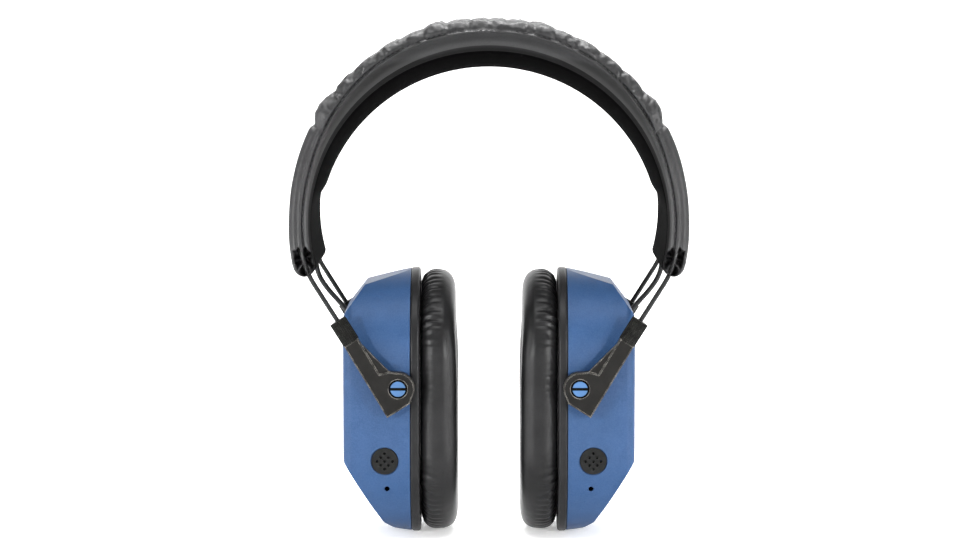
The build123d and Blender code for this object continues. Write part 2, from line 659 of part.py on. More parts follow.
with BuildPart() as circuit_board:
    with BuildSketch(cup_face(OUTER_X + WALL + BOARD_GAP)):
        RectangleRounded(BOARD_LEN, BOARD_TALL, 3.0)
    extrude(amount=-BOARD_T)
    with BuildSketch(cup_face(OUTER_X + WALL + BOARD_GAP)):
        with Locations(*button_faces):
            Circle(2.0)
    extrude(amount=BOARD_GAP - BUTTON_FLANGE_T - BUTTON_TRAVEL - 0.3)
    with BuildSketch(cup_face(OUTER_X + WALL + BOARD_GAP + BOARD_T)):
        with Locations((0, 8), (-12, 8)):
            Rectangle(8.0, 8.0)
        with Locations((12, 8)):
            Circle(3.5)
        with GridLocations(6.0, 5.0, 5, 1):
            Rectangle(2.0, 1.2)
    extrude(amount=-1.4)
keep(circuit_board, "circuit_board")

with BuildPart() as audio_jack:
    with BuildSketch(jack_plane):
        Circle(JACK_COLLAR_R - 0.05)
    extrude(amount=-JACK_DEPTH - 1.5)
    with BuildSketch(jack_plane):
        Circle(JACK_R)
    extrude(amount=-JACK_DEPTH, mode=Mode.SUBTRACT)
keep(audio_jack, "audio_jack")

# ---- Right cup: shell with the battery compartment, modelled on the left and mirrored ----
door_mid = (DOOR_TOP + DOOR_BOTTOM) / 2
door_tall = DOOR_TOP - DOOR_BOTTOM
pin_x = OUTER_X + KNUCKLE_R
pin_plane = Plane(origin=(pin_x, 0, CUP_Z + DOOR_TOP), x_dir=(1, 0, 0), z_dir=(0, 1, 0))
bay_inner = OUTER_X + DOOR_T + 2 * AAA_R + 1.0

with BuildPart() as battery_shell:
    add(outer_shell())
    with BuildSketch(panel_face.offset(PANEL_PROUD)):
        with Locations((0, door_mid + KNUCKLE_R / 2)):
            Rectangle(2 * DOOR_HALF_W + 2 * DOOR_GAP, door_tall + KNUCKLE_R + 2 * DOOR_GAP)
    extrude(amount=-PANEL_PROUD - WALL - 0.5, mode=Mode.SUBTRACT)
with BuildPart() as right_shell:
    mirror(battery_shell.part, about=Plane.YZ)
keep(right_shell, "right_shell")

with BuildPart() as tray:
    with BuildSketch(cup_face(OUTER_X + WALL + 0.05)):
        with Locations((0, door_mid + KNUCKLE_R / 2)):
            Rectangle(2 * DOOR_HALF_W + 5, door_tall + KNUCKLE_R + 3.4)
            Rectangle(2 * DOOR_HALF_W + 2, door_tall + KNUCKLE_R + 1.0, mode=Mode.SUBTRACT)
    extrude(amount=-(bay_inner - OUTER_X - WALL))
    with BuildSketch(cup_face(bay_inner)):
        with Locations((0, door_mid + KNUCKLE_R / 2)):
            Rectangle(2 * DOOR_HALF_W + 5, door_tall + KNUCKLE_R + 3.4)
    extrude(amount=-1.4)
    for end in (-1, 1):
        with BuildSketch(pin_plane.offset(end * (KNUCKLE_HALF + 0.2))):
            Circle(KNUCKLE_R - 0.1)
            with Locations((2.0, 0.6)):
                Rectangle(2.6, 2 * KNUCKLE_R + 1.0)
        extrude(amount=end * (DOOR_HALF_W - KNUCKLE_HALF))
    with BuildSketch(pin_plane):
        Circle(PIN_R)
    extrude(amount=DOOR_HALF_W, both=True, mode=Mode.SUBTRACT)
with BuildPart() as battery_tray:
    mirror(tray.part, about=Plane.YZ)
keep(battery_tray, "battery_tray")

with BuildPart() as lid:
    with BuildSketch(panel_face):
        with Locations((0, door_mid)):
            Rectangle(2 * DOOR_HALF_W, door_tall)
        with Locations((-DOOR_HALF_W, DOOR_TOP), (DOOR_HALF_W, DOOR_TOP)):
            Rectangle(2 * (DOOR_HALF_W - KNUCKLE_HALF), 5.0, mode=Mode.SUBTRACT)
    extrude(amount=-DOOR_T)
    with BuildSketch(pin_plane):
        Circle(KNUCKLE_R)
    extrude(amount=KNUCKLE_HALF, both=True)
    with BuildSketch(pin_plane):
        Circle(PIN_R + SLIDE_FIT)
    extrude(amount=KNUCKLE_HALF + 1, both=True, mode=Mode.SUBTRACT)
    with BuildSketch(panel_face):
        with Locations((0, PANEL_H + 0.6)):
            SlotOverall(2 * DOOR_HALF_W - 6, PANEL_TALL - 1.2)
    extrude(amount=PANEL_PROUD)
with BuildPart() as battery_door:
    mirror(lid.part, about=Plane.YZ)
keep(battery_door, "battery_door")

with BuildPart() as hinge_pin:
    with BuildSketch(pin_plane):
        Circle(PIN_R)
    extrude(amount=DOOR_HALF_W, both=True)
with BuildPart() as door_pin:
    mirror(hinge_pin.part, about=Plane.YZ)
keep(door_pin, "door_pin")

with BuildPart() as cells:
    for row in (-1, 1):
        cell_plane = Plane(
            origin=(OUTER_X + DOOR_T + AAA_R + 0.4, row * (AAA_R + 0.4), CUP_Z + door_mid - 1.5),
            x_dir=(1, 0, 0), z_dir=(0, 0, row),
        )
        with BuildSketch(cell_plane.offset(-AAA_LEN / 2)):
            Circle(AAA_R)
        extrude(amount=AAA_LEN - 1.0)
        with BuildSketch(cell_plane.offset(AAA_LEN / 2 - 1.0)):
            Circle(1.9)
        extrude(amount=1.0)
with BuildPart() as batteries:
    mirror(cells.part, about=Plane.YZ)
keep(batteries, "batteries")

with BuildPart() as strips:
    for end in (-1, 1):
        with Locations((OUTER_X + DOOR_T + AAA_R + 0.4, 0, CUP_Z + door_mid - 1.5 + end * (AAA_LEN / 2 + 1.2))):
            Box(8.0, 4 * AAA_R, 0.5)
        with Locations(
            (OUTER_X + DOOR_T + AAA_R + 0.4, end * (AAA_R + 0.4), CUP_Z + door_mid - 1.5 - end * (AAA_LEN / 2 + 0.5))
        ):
            Cone(3.0, 2.0, 0.96)
with BuildPart() as battery_contacts:
    mirror(strips.part, about=Plane.YZ)
keep(battery_contacts, "battery_contacts")
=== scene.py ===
"""Looks of the earmuff hearing protector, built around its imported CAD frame.

Lengths here are in millimetres, and MM turns them into Blender's metres.  The axes are the frame's:
+X to the right, -Y to the front, +Z up, with the left cup on -X.  Left-hand pieces are made first and
mirrored in the YZ plane.
"""
import json
import math
from typing import NamedTuple

import bpy
import numpy as np
from mathutils import Matrix, Vector, noise


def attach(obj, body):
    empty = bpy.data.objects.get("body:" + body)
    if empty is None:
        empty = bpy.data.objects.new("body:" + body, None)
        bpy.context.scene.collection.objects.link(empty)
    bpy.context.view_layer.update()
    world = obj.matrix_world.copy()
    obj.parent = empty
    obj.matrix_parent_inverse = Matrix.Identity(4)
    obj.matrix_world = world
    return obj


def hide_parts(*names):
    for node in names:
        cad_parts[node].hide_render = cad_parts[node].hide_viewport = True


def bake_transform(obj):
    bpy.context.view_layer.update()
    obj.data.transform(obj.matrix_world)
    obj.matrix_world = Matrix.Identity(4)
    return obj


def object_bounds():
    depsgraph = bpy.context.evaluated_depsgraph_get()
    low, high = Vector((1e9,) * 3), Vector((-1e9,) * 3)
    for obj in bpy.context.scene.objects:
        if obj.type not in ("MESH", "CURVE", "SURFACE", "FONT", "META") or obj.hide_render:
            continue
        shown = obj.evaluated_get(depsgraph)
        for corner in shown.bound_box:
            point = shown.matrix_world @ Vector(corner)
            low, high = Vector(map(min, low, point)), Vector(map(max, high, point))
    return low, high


MM = 0.001

# Camera
CAMERA_AIM = Vector((0, 0, -88.0))
CAMERA_DISTANCE = 1380.0
CAMERA_ELEVATION = 5.15  # degrees
CAMERA_LENS = 120.0

# Light: softboxes as (name, place, size, watts), and for each cup one strip and one spot on its own side
SOFTBOXES = (
    ("key", (0.0, -500.0, 1000.0), (1100.0, 260.0), 12.0),
    ("left", (-900.0, -300.0, 60.0), (160.0, 500.0), 3.4),
    ("right", (900.0, -300.0, 60.0), (160.0, 500.0), 3.4),
    ("top", (0.0, 250.0, 900.0), (900.0, 300.0), 20.0),
)
BACKDROP_PLACE, BACKDROP_SIZE, BACKDROP_POWER = (0, 500.0, 1300.0), (2400.0, 400.0), 22.0
STRIP_PLACE, STRIP_SIZE, STRIP_POWER = (620.0, -640.0, -60.0), (30.0, 560.0), 0.2
STRIP_AIM, STRIP_SPREAD = (62.0, -30.0, -125.0), 34.0  # spread in degrees
SPOT_PLACE, SPOT_RADIUS, SPOT_POWER = (330.0, -560.0, -50.0), 11.0, 8.5
SPOT_AIM = (62.0, -30.0, -115.0)
SPOT_CONE, SPOT_BLEND = 27.0, 0.6  # degrees, and the soft share of the cone
WORLD_LIGHT = 0.2  # the world lights the object less than it shows behind it

# Floor: flat, then a curve up into a wall behind the object
FLOOR_HALF, FLOOR_FRONT, WALL_TOP = 2600.0, -2500.0, 2500.0
CURVE_START, CURVE_R, CURVE_STEPS = 900.0, 500.0, 12

# Headband: an elliptic arch, as in the frame, with a crowned pad below and two rounded ends
BAND_Z = -62.9  # centre of both ellipses
BAND_A, BAND_B = 82.5, 83.7  # outer half axes
BAND_POWER = 2.06  # slightly squarer than an ellipse
BORE_A, BORE_B = 73.2, 70.7  # inner half axes
TIP_X, TIP_Z, TIP_R = 75.85, -80.1, 4.85
HALF_WIDTH_CROWN = 28.8
WIDTH_LEAN = math.tan(math.radians(7.6))  # gain in half width for each millimetre down
PAD_R, PAD_Z = 72.2, -72.2  # arc of the pad's underside
OUTER_SWEEP, INNER_SWEEP = 101.8, 104.08  # degrees from the crown to the band's ends
GATHERED_TO = 61.0  # degrees from the crown to the cross seam where the elastic ends
GATHERS = (0.0, 5.6, 13.0, 19.6, 26.5, 34.0, 42.5, 51.0, GATHERED_TO)
GATHER_DEPTHS = (0.5, 0.6, 1.1, 0.6, 0.8, 0.7, 0.8, 1.1)
SEAM_CROWN, SEAM_END = 4.6, 6.6  # depth of the sewn seam below the band's outer face
OPENING_Z = -74.2  # top of the openings in the band's ends
FACE_STEPS, CORNER_STEPS = 26, 7  # points across each face and corner of the band's section
STITCH_PITCH, STITCH_LENGTH, STITCH_R = 2.3, 1.5, 0.17
STITCH_RINGS, STITCH_SIDES = 5, 6
WIRE_TOP, WIRE_BEND = (77.2, -73.6), (76.1, -81.5)  # wire's place (x, z) in the band's ends

# Ear cushions: an oval ring between the base plate and the head
CUP_Z = -140.75
CUSHION_X0, CUSHION_X1 = -28.6, -13.1
CUSHION_H, CUSHION_W = 110.0, 71.0
EAR_H, EAR_W = 66.0, 38.0
CUSHION_POWER, SEAM_POWER = 2.7, 2.9  # squareness of the section, and of its corner at the base plate

# Cross bars that hold the wires in the band's ends
KEEPER_X, KEEPER_Z, KEEPER_R, KEEPER_HALF = 76.0, -79.3, 2.6, 34.5

# Spring wires and the link cable's lead, as in the frame
WIRE_Y_MID = 37.5
ARCH_END = 8.0
CABLE_ARCH_R, CABLE_INBOARD, CABLE_OUT, LEAD_STRAIGHT = 77.5, 4.7, 14.0, 4.0
LEAD_ROUTE = [(-69.4, 35.0, -98.0), (-63.4, 34.2, -104.2), (-58.6, 33.4, -110.6)]
CABLE_R = 1.1

# Pivot studs, seen in the recess of each yoke arm, with a black bar in the slot and a black ring round the
# head as painted shade for the slot's depth and the gap
STUD_X, STUD_Z = -37.5, -131.4
YOKE_FACE = 42.48  # outer face of the yoke arms
SLOT_HALF_LENGTH, SLOT_HALF_WIDTH = 3.8, 0.58
SLOT_DEPTH = 0.75
PAINTED_SHADE_RING = ((3.12, 0.03), (3.3, 0.03), (3.34, -0.25), (3.9, -0.25))  # radius and height above the arm
RING_STEPS = 48


def smooth(low, high, value):
    """0 below low, 1 above high, and a smooth step between."""
    t = np.clip((value - low) / (high - low), 0.0, 1.0)
    return t * t * (3 - 2 * t)


def hump(value, centre, width):
    """Rounded bump of height 1."""
    return np.exp(-(((value - centre) / width) ** 2))


def noise_at(points, scale, seed=0.0):
    """Smooth noise from -1 to 1 at each point, with features about 1/scale millimetres apart."""
    shift = Vector((seed, 2.3 * seed, -1.7 * seed))
    flat = points.reshape(-1, 3)
    values = [noise.noise(Vector(p) * scale + shift) for p in flat]
    return np.array(values).reshape(points.shape[:-1])


def mesh_object(name, points, faces, smooth_shade=True):
    """Mesh piece from points in millimetres."""
    mesh = bpy.data.meshes.new(name)
    mesh.from_pydata([tuple(p) for p in np.asarray(points, float) * MM], [], faces)
    mesh.validate()
    if smooth_shade:
        mesh.shade_smooth()
    piece = bpy.data.objects.new(name, mesh)
    bpy.context.scene.collection.objects.link(piece)
    return piece


def grid_faces(rows, columns, wrap_rows=False, start=0):
    """Quads over a grid of points stored row by row, each row closed on itself."""
    faces = []
    for i in range(rows if wrap_rows else rows - 1):
        for j in range(columns):
            a, b = i * columns, ((i + 1) % rows) * columns
            k = (j + 1) % columns
            faces.append((start + a + j, start + b + j, start + b + k, start + a + k))
    return faces


def mirror_piece(piece, name):
    """Copy of a left-hand piece, mirrored in the YZ plane."""
    twin = piece.copy()
    twin.data = piece.data.copy()
    twin.name = twin.data.name = name
    bpy.context.scene.collection.objects.link(twin)
    twin.data.transform(Matrix.Diagonal((-1, 1, 1, 1)))
    twin.data.flip_normals()
    return twin


# ---- Materials ----
class Nodes:
    """Short forms for building a material's node tree."""

    def __init__(self, name, **settings):
        self.material = bpy.data.materials.new(name)
        self.material.use_nodes = True
        self.tree = self.material.node_tree
        self.shader = self.tree.nodes["Principled BSDF"]
        self.set(self.shader, **settings)
        self.where = self.new("ShaderNodeTexCoord").outputs["Object"]

    def new(self, kind, **settings):
        """New node of a kind, with its sockets and properties set."""
        node = self.tree.nodes.new(kind)
        self.set(node, **settings)
        return node

    def set(self, node, **settings):
        """Set or link a node's sockets by name, and its properties where no socket has the name."""
        for key, value in settings.items():
            socket = node.inputs.get(key.replace("_", " "))
            if socket is None:
                setattr(node, key, value)
            elif isinstance(value, bpy.types.NodeSocket):
                self.tree.links.new(value, socket)
            else:
                socket.default_value = value

    def noise(self, size, detail=2.0, roughness=0.5):
        """Noise with features about size millimetres across."""
        node = self.new("ShaderNodeTexNoise", Scale=1 / (size * MM), Detail=detail, Roughness=roughness)
        self.tree.links.new(self.where, node.inputs["Vector"])
        return node.outputs["Fac"]

    def cells(self, size, feature="F1"):
        """Voronoi distance with cells about size millimetres across."""
        node = self.new("ShaderNodeTexVoronoi", feature=feature, Scale=1 / (size * MM))
        self.tree.links.new(self.where, node.inputs["Vector"])
        return node.outputs["Distance"]

    def span(self, value, low, high, to_low=0.0, to_high=1.0):
        """Value mapped from low..high to to_low..to_high."""
        node = self.new("ShaderNodeMapRange", Value=value)
        node.inputs["From Min"].default_value = low
        node.inputs["From Max"].default_value = high
        node.inputs["To Min"].default_value = to_low
        node.inputs["To Max"].default_value = to_high
        return node.outputs["Result"]

    def math(self, operation, a, b):
        """Result of a Math node over two numbers or sockets."""
        node = self.new("ShaderNodeMath", operation=operation)
        for socket, value in zip(node.inputs, (a, b)):
            if isinstance(value, bpy.types.NodeSocket):
                self.tree.links.new(value, socket)
            else:
                socket.default_value = value
        return node.outputs[0]

    def mix(self, factor, a, b):
        """Colour between a (factor 0) and b (factor 1)."""
        node = self.new("ShaderNodeMix", data_type="RGBA")
        for index, value in ((0, factor), (6, a), (7, b)):
            socket = node.inputs[index]
            if isinstance(value, bpy.types.NodeSocket):
                self.tree.links.new(value, socket)
            else:
                socket.default_value = value if index == 0 else (*value, 1.0)
        return node.outputs[2]

    def bump(self, height, distance, strength=1.0, under=None):
        """Bump of a height in millimetres, on top of another bump if one is given."""
        node = self.new("ShaderNodeBump", Strength=strength, Distance=distance * MM, Height=height)
        if under is not None:
            self.tree.links.new(under, node.inputs["Normal"])
        return node.outputs["Normal"]

    def edge_rub_and_highlight(self, radius):
        """Mask for the lighter edges, wear and painted highlight: 1 on sharp outer edges and 0 on flat faces.
        """
        bevel = self.new("ShaderNodeBevel", Radius=radius * MM)
        bevel.samples = 4
        geometry = self.new("ShaderNodeNewGeometry")
        dot = self.new("ShaderNodeVectorMath", operation="DOT_PRODUCT")
        self.tree.links.new(bevel.outputs[0], dot.inputs[0])
        self.tree.links.new(geometry.outputs["Normal"], dot.inputs[1])
        return self.span(dot.outputs["Value"], 0.995, 0.86)

    def done(self, color, roughness, normal):
        """Link the results to the shader and return the material."""
        links = {"Base Color": color, "Roughness": roughness, "Normal": normal}
        for name, value in links.items():
            self.tree.links.new(value, self.shader.inputs[name])
        return self.material


def leather(name, dark, light, grain, roughness, gloss=0.3, index=1.5):
    """Black synthetic leather: pebble grain, fine pores and slow changes of tone.

    It is painted darker where the mesh's painted-shade attribute is 1: painted shade on the band's underside
    and the inner part of its faces.
    """
    n = Nodes(name, Specular_IOR_Level=gloss, IOR=index)
    tone = n.noise(14.0, 3.0)
    pebbles = n.cells(grain, "SMOOTH_F1")
    pores = n.noise(grain * 0.45, 3.0)
    painted_shade = n.new("ShaderNodeAttribute", attribute_name="painted_shade").outputs["Fac"]
    color = n.mix(n.span(tone, 0.3, 0.7), dark, light)
    color = n.mix(n.span(pebbles, 0.25, 0.7, 0.0, 0.35), color, tuple(0.5 * c for c in dark))
    # Painted shade: darker where the attribute marks the band's shaded underside and inner faces.
    color = n.mix(painted_shade, color, tuple(0.12 * c for c in dark))
    rough = n.span(pores, 0.3, 0.7, roughness - 0.05, roughness + 0.07)
    normal = n.bump(pebbles, 0.05, 0.55)
    normal = n.bump(pores, 0.02, 0.5, normal)
    normal = n.bump(n.noise(6.0, 2.0), 0.12, 0.5, normal)
    return n.done(color, rough, normal)


def blue_plastic():
    """Spark-eroded blue moulding: satin, finely mottled."""
    n = Nodes("shell_blue", Specular_IOR_Level=0.4, IOR=1.32)
    fine = n.noise(0.55, 4.0, 0.6)
    coarse = n.noise(5.0, 3.0)
    pits = n.cells(0.7)
    color = n.mix(n.span(coarse, 0.3, 0.7), (0.0118, 0.039, 0.102), (0.0155, 0.0455, 0.117))
    color = n.mix(n.span(fine, 0.35, 0.7, 0.0, 0.5), color, (0.034, 0.07, 0.155))
    rough = n.span(fine, 0.3, 0.7, 0.40, 0.52)
    normal = n.bump(fine, 0.06, 0.7)
    normal = n.bump(pits, 0.03, 0.4, normal)
    return n.done(color, rough, normal)


def moulding(name, base, edge, rough, texture=0.5, radius=0.5, depth=0.05, gloss=0.2):
    """Textured moulding whose sharp edges are lighter: partly wear, partly a painted highlight where rounded
    edges would catch the light.

    texture is the grain's size, radius the width of the lighter edge and depth the grain's height, in
    millimetres.
    """
    n = Nodes(name, Specular_IOR_Level=gloss, IOR=1.35)
    fine = n.noise(texture, 4.0, 0.6)
    slow = n.noise(4.0, 3.0)
    color = n.mix(n.span(slow, 0.35, 0.7, 0.0, 0.6), base, tuple(1.5 * c for c in base))
    rubbed_and_highlighted = n.math("MULTIPLY", n.edge_rub_and_highlight(radius), n.span(n.noise(2.2, 3.0), 0.3, 0.6))
    # Lighter edges: partly wear, partly a painted highlight standing in for light on rounded edges.
    color = n.mix(rubbed_and_highlighted, color, edge)
    roughness = n.span(fine, 0.3, 0.7, rough - 0.06, rough + 0.08)
    normal = n.bump(fine, depth, 0.7)
    return n.done(color, roughness, normal)


def coated_steel():
    """Black coated spring wire with fine drawing lines."""
    n = Nodes("wire_black", Specular_IOR_Level=0.25)
    fine = n.noise(0.8, 3.0)
    color = n.mix(n.span(fine, 0.3, 0.7), (0.004, 0.004, 0.0042), (0.008, 0.008, 0.0084))
    return n.done(color, n.span(fine, 0.3, 0.7, 0.26, 0.38), n.bump(fine, 0.02, 0.4))


def rubber(name, base, rough, gloss=0.2):
    """Matte black rubber with a faint bloom."""
    n = Nodes(name, Specular_IOR_Level=gloss)
    fine = n.noise(0.6, 3.0)
    slow = n.noise(5.0, 2.0)
    color = n.mix(n.span(slow, 0.3, 0.7), base, tuple(1.6 * c for c in base))
    return n.done(color, n.span(fine, 0.3, 0.7, rough - 0.05, rough + 0.08), n.bump(fine, 0.03, 0.5))


def foam():
    """Dark open-cell foam."""
    n = Nodes("foam_dark", Specular_IOR_Level=0.2)
    pores = n.cells(0.9)
    color = n.mix(n.span(pores, 0.1, 0.6), (0.02, 0.02, 0.021), (0.05, 0.05, 0.052))
    return n.done(color, n.span(pores, 0.0, 0.6, 0.95, 0.8), n.bump(pores, 0.4, 0.9))


def woven(name, base):
    """Fine black acoustic cloth: crossing threads."""
    n = Nodes(name, Specular_IOR_Level=0.3, Sheen_Weight=0.2)
    warp = n.new("ShaderNodeTexWave", bands_direction="Y", Scale=420.0)
    weft = n.new("ShaderNodeTexWave", bands_direction="Z", Scale=420.0)
    for wave in (warp, weft):
        n.tree.links.new(n.where, wave.inputs["Vector"])
    threads = n.math("MAXIMUM", warp.outputs["Fac"], weft.outputs["Fac"])
    color = n.mix(threads, tuple(0.4 * c for c in base), base)
    return n.done(color, n.span(threads, 0.0, 1.0, 0.95, 0.75), n.bump(threads, 0.1, 0.8))


def metal(name, base, rough):
    """Plated steel with fine scratches."""
    n = Nodes(name, Metallic=1.0)
    fine = n.noise(0.5, 4.0)
    slow = n.noise(3.0, 2.0)
    color = n.mix(n.span(slow, 0.3, 0.7), base, tuple(0.8 * c for c in base))
    return n.done(color, n.span(fine, 0.3, 0.7, rough - 0.06, rough + 0.08), n.bump(fine, 0.01, 0.4))


def circuit():
    """Green solder mask with a faint trace pattern."""
    n = Nodes("board_green", Specular_IOR_Level=0.5)
    traces = n.cells(3.0, "DISTANCE_TO_EDGE")
    color = n.mix(n.span(traces, 0.08, 0.14), (0.03, 0.20, 0.09), (0.008, 0.075, 0.035))
    fine = n.noise(0.5, 3.0)
    return n.done(color, n.span(fine, 0.3, 0.7, 0.25, 0.38), n.bump(traces, 0.05, 0.4))


def leathers():
    """Leathers of the headband and the cushions, with darker, less glossy copies of the band's leather as
    painted shade on its inner corners and underside.
    """
    light = (0.018, 0.018, 0.019)
    underside_painted_shade_dark = (0.012, 0.012, 0.0125)
    cushion_dark, cushion_light = (0.0045, 0.0045, 0.0047), (0.0115, 0.0115, 0.012)
    return {
        "leatherette": leather("leather_black", (0.011, 0.011, 0.0115), light, 0.55, 0.46, 0.4),
        # The two copies after this one are darker and less glossy: painted shade for the band's rounded inner
        # corners and its underside.
        "half_painted_shade": leather("leather_half_painted_shade", underside_painted_shade_dark, light, 0.55, 0.62, 0.4, 1.25),
        "underside_painted_shade": leather("leather_underside_painted_shade", underside_painted_shade_dark, (0.017, 0.017, 0.018), 0.55, 0.85, 0.1, 1.08),
        "cushion_leatherette": leather("leather_cushion", cushion_dark, cushion_light, 0.4, 0.36, 0.5, 1.28),
    }


def mouldings():
    """Hard plastics other than the shells, each with the values that moulding() takes, in its order."""
    grey = (0.05, 0.05, 0.05)
    # The second colour of each is its lighter edge: wear and painted edge highlight.
    looks = {
        "black_plastic": ("rim_black", (0.0095, 0.0095, 0.01), grey, 0.36, 0.6, 0.5, 0.05, 0.22),
        "arm_plastic": ("arm_black", (0.007, 0.0067, 0.0062), (0.22, 0.21, 0.19), 0.42, 0.45, 0.6, 0.1, 0.14),
        "collar": ("collar_black", (0.003, 0.003, 0.0028), (0.05, 0.05, 0.045), 0.5, 0.4, 0.25, 0.05, 0.09),
        "stud_blue": ("stud_blue", (0.036, 0.09, 0.195), (0.05, 0.11, 0.22), 0.42, 0.6, 0.2, 0.02, 0.4),
        "grille": ("grille_grey", (0.0085, 0.0087, 0.0085), (0.02, 0.02, 0.02), 0.55, 0.35, 0.15, 0.05, 0.1),
        "speaker": ("speaker_dark", (0.03, 0.03, 0.03), (0.07, 0.07, 0.07), 0.6),
    }
    return {slot: moulding(*look) for slot, look in looks.items()}


def make_materials():
    """Every material, by the slot it stands for."""
    return {
        **leathers(),
        **mouldings(),
        "foam": foam(),
        "wire_steel": coated_steel(),
        "cable_rubber": rubber("cable_black", (0.005, 0.005, 0.0055), 0.48),
        "shell_blue": blue_plastic(),
        "button_rubber": rubber("button_black", (0.014, 0.014, 0.015), 0.55),
        "board": circuit(),
        "scrim_cloth": woven("scrim_black", (0.035, 0.035, 0.036)),
        "bright_steel": metal("steel_plated", (0.62, 0.62, 0.64), 0.28),
        "battery": metal("battery_sleeve", (0.30, 0.31, 0.33), 0.35),
        # Near-black, for the painted shade in the stud slots and rings.
        "painted_shade_black": rubber("painted_shade_black", (0.002, 0.002, 0.002), 0.9, 0.02),
        "thread": rubber("thread_grey", (0.045, 0.045, 0.047), 0.6),
    }


def paint(piece, material):
    """Give a piece one material."""
    piece.data.materials.clear()
    piece.data.materials.append(material)


# ---- Headband ----
def band_line(turn):
    """Outer and inner point (x, z) of the band's side profile.

    turn is -1 at the left end, 0 at the crown and 1 at the right end.  Beyond an end it goes on round
    the tip, by up to 1 more.
    """
    side, along = math.copysign(1.0, turn), abs(turn)
    if along <= 1.0:
        a, b = math.radians(90 - side * OUTER_SWEEP * along), math.radians(90 - side * INNER_SWEEP * along)
        bulge = (abs(math.cos(a)) ** BAND_POWER + abs(math.sin(a)) ** BAND_POWER) ** (-1 / BAND_POWER)
        outer = (BAND_A * bulge * math.cos(a), BAND_Z + BAND_B * bulge * math.sin(a))
        inner = (BORE_A * math.cos(b), BAND_Z + BORE_B * math.sin(b))
        return np.array(outer), np.array(inner)
    t = math.radians(90 * (along - 1.0))
    reach, drop = TIP_R * math.cos(t), TIP_R * math.sin(t)
    return np.array((side * (TIP_X + reach), TIP_Z - drop)), np.array((side * (TIP_X - reach), TIP_Z - drop))


def pad_crown(turn):
    """How far the padding bulges below the band's inner face."""
    b = math.radians(90 - INNER_SWEEP * abs(turn))
    x, z = BORE_A * math.cos(b), BAND_Z + BORE_B * math.sin(b)
    thick = math.hypot(x, z - PAD_Z) - PAD_R
    return max(0.0, thick) * float(smooth(0.84, 0.735, abs(turn)))


def gather_profile(angle):
    """Pillows between the gathers: 0 at a gather and up to the pillow's height between two."""
    angle = np.abs(angle)
    height = np.zeros_like(angle)
    for start, end, depth in zip(GATHERS, GATHERS[1:], GATHER_DEPTHS):
        t = np.clip((angle - start) / (end - start), 0, 1)
        height += np.where((angle >= start) & (angle < end), depth * (4 * t * (1 - t)) ** 0.6, 0.0)
    return height


def seam_depth(along, thick):
    """Depth of the sewn seam below the band's outer face, at a share of the way to the band's end."""
    return min(SEAM_CROWN + (SEAM_END - SEAM_CROWN) * float(smooth(0.25, 0.8, along)), 0.62 * thick)


def band_section(half_width, thick, outer_r, inner_r):
    """Rounded rectangle round the band, as (y, depth) points with outward normals, from the top's middle
    over the front face to the underside and back up the rear face."""
    points, normals = [], []

    def add(y, d, ny, nd):
        points.append((y, d))
        normals.append((ny, nd))

    for k in range(FACE_STEPS):
        add(-(half_width - outer_r) * k / FACE_STEPS, 0.0, 0.0, -1.0)
    for k in range(CORNER_STEPS):
        a = math.pi / 2 * k / CORNER_STEPS
        c, d = math.cos(a), math.sin(a)
        add(-(half_width - outer_r) - outer_r * d, outer_r - outer_r * c, -d, -c)
    for k in range(FACE_STEPS):
        add(-half_width, outer_r + (thick - outer_r - inner_r) * k / FACE_STEPS, -1.0, 0.0)
    for k in range(CORNER_STEPS):
        a = math.pi / 2 * k / CORNER_STEPS
        c, d = math.cos(a), math.sin(a)
        add(-half_width + inner_r - inner_r * c, thick - inner_r + inner_r * d, -c, d)
    for k in range(FACE_STEPS + 1):
        add(-(half_width - inner_r) * (1 - k / FACE_STEPS), thick, 0.0, 1.0)
    for k in range(len(points) - 2, 0, -1):
        points.append((-points[k][0], points[k][1]))
        normals.append((-normals[k][0], normals[k][1]))
    return np.array(points), np.array(normals)


class Station(NamedTuple):
    """Where one row of the sleeve's points lies, and which way each of its points faces."""

    turn: float
    thick: float
    half: float
    depth: np.ndarray
    y: np.ndarray
    normals: np.ndarray

    @property
    def inward(self):
        """Direction from the outer face to the underside, in the middle of the band."""
        return self.normals[len(self.y) // 2]


def band_turns():
    """Stations along the band: close together over the gathers and at the ends."""
    gathered = GATHERED_TO / OUTER_SWEEP + 0.03
    half = np.concatenate([
        np.linspace(0, gathered, 130, endpoint=False),
        np.linspace(gathered, 0.9, 36, endpoint=False),
        np.linspace(0.9, 1.0, 34, endpoint=False),
        1.0 + np.linspace(0, 1.0, 15),
    ])
    return np.concatenate([-half[:0:-1], half])


def band_surface():
    """Padded headband as a grid of points, one row for each station, with the facts of each station."""
    rows, stations = [], []
    for turn in band_turns():
        outer, inner = band_line(turn)
        along = min(abs(turn), 1.0)
        thick = max(np.linalg.norm(inner - outer), 0.05)
        z_mid = (outer[1] + inner[1]) / 2
        half = HALF_WIDTH_CROWN + (BAND_Z + BAND_B - z_mid) * WIDTH_LEAN
        squeeze = min(1.0, thick / 9.0)
        outer_r = (5.0 - 2.2 * along) * squeeze
        inner_r = (3.6 - 1.4 * along) * squeeze
        section, normal = band_section(half, thick, outer_r, inner_r)
        y, depth = section[:, 0], section[:, 1]
        down = (inner - outer) / thick
        rows.append(np.stack([outer[0] + down[0] * depth, y, outer[1] + down[1] * depth], axis=1))
        normals = np.stack([normal[:, 1] * down[0], normal[:, 0], normal[:, 1] * down[1]], axis=1)
        stations.append(Station(turn, thick, half, depth, y, normals))
    return np.array(rows), stations


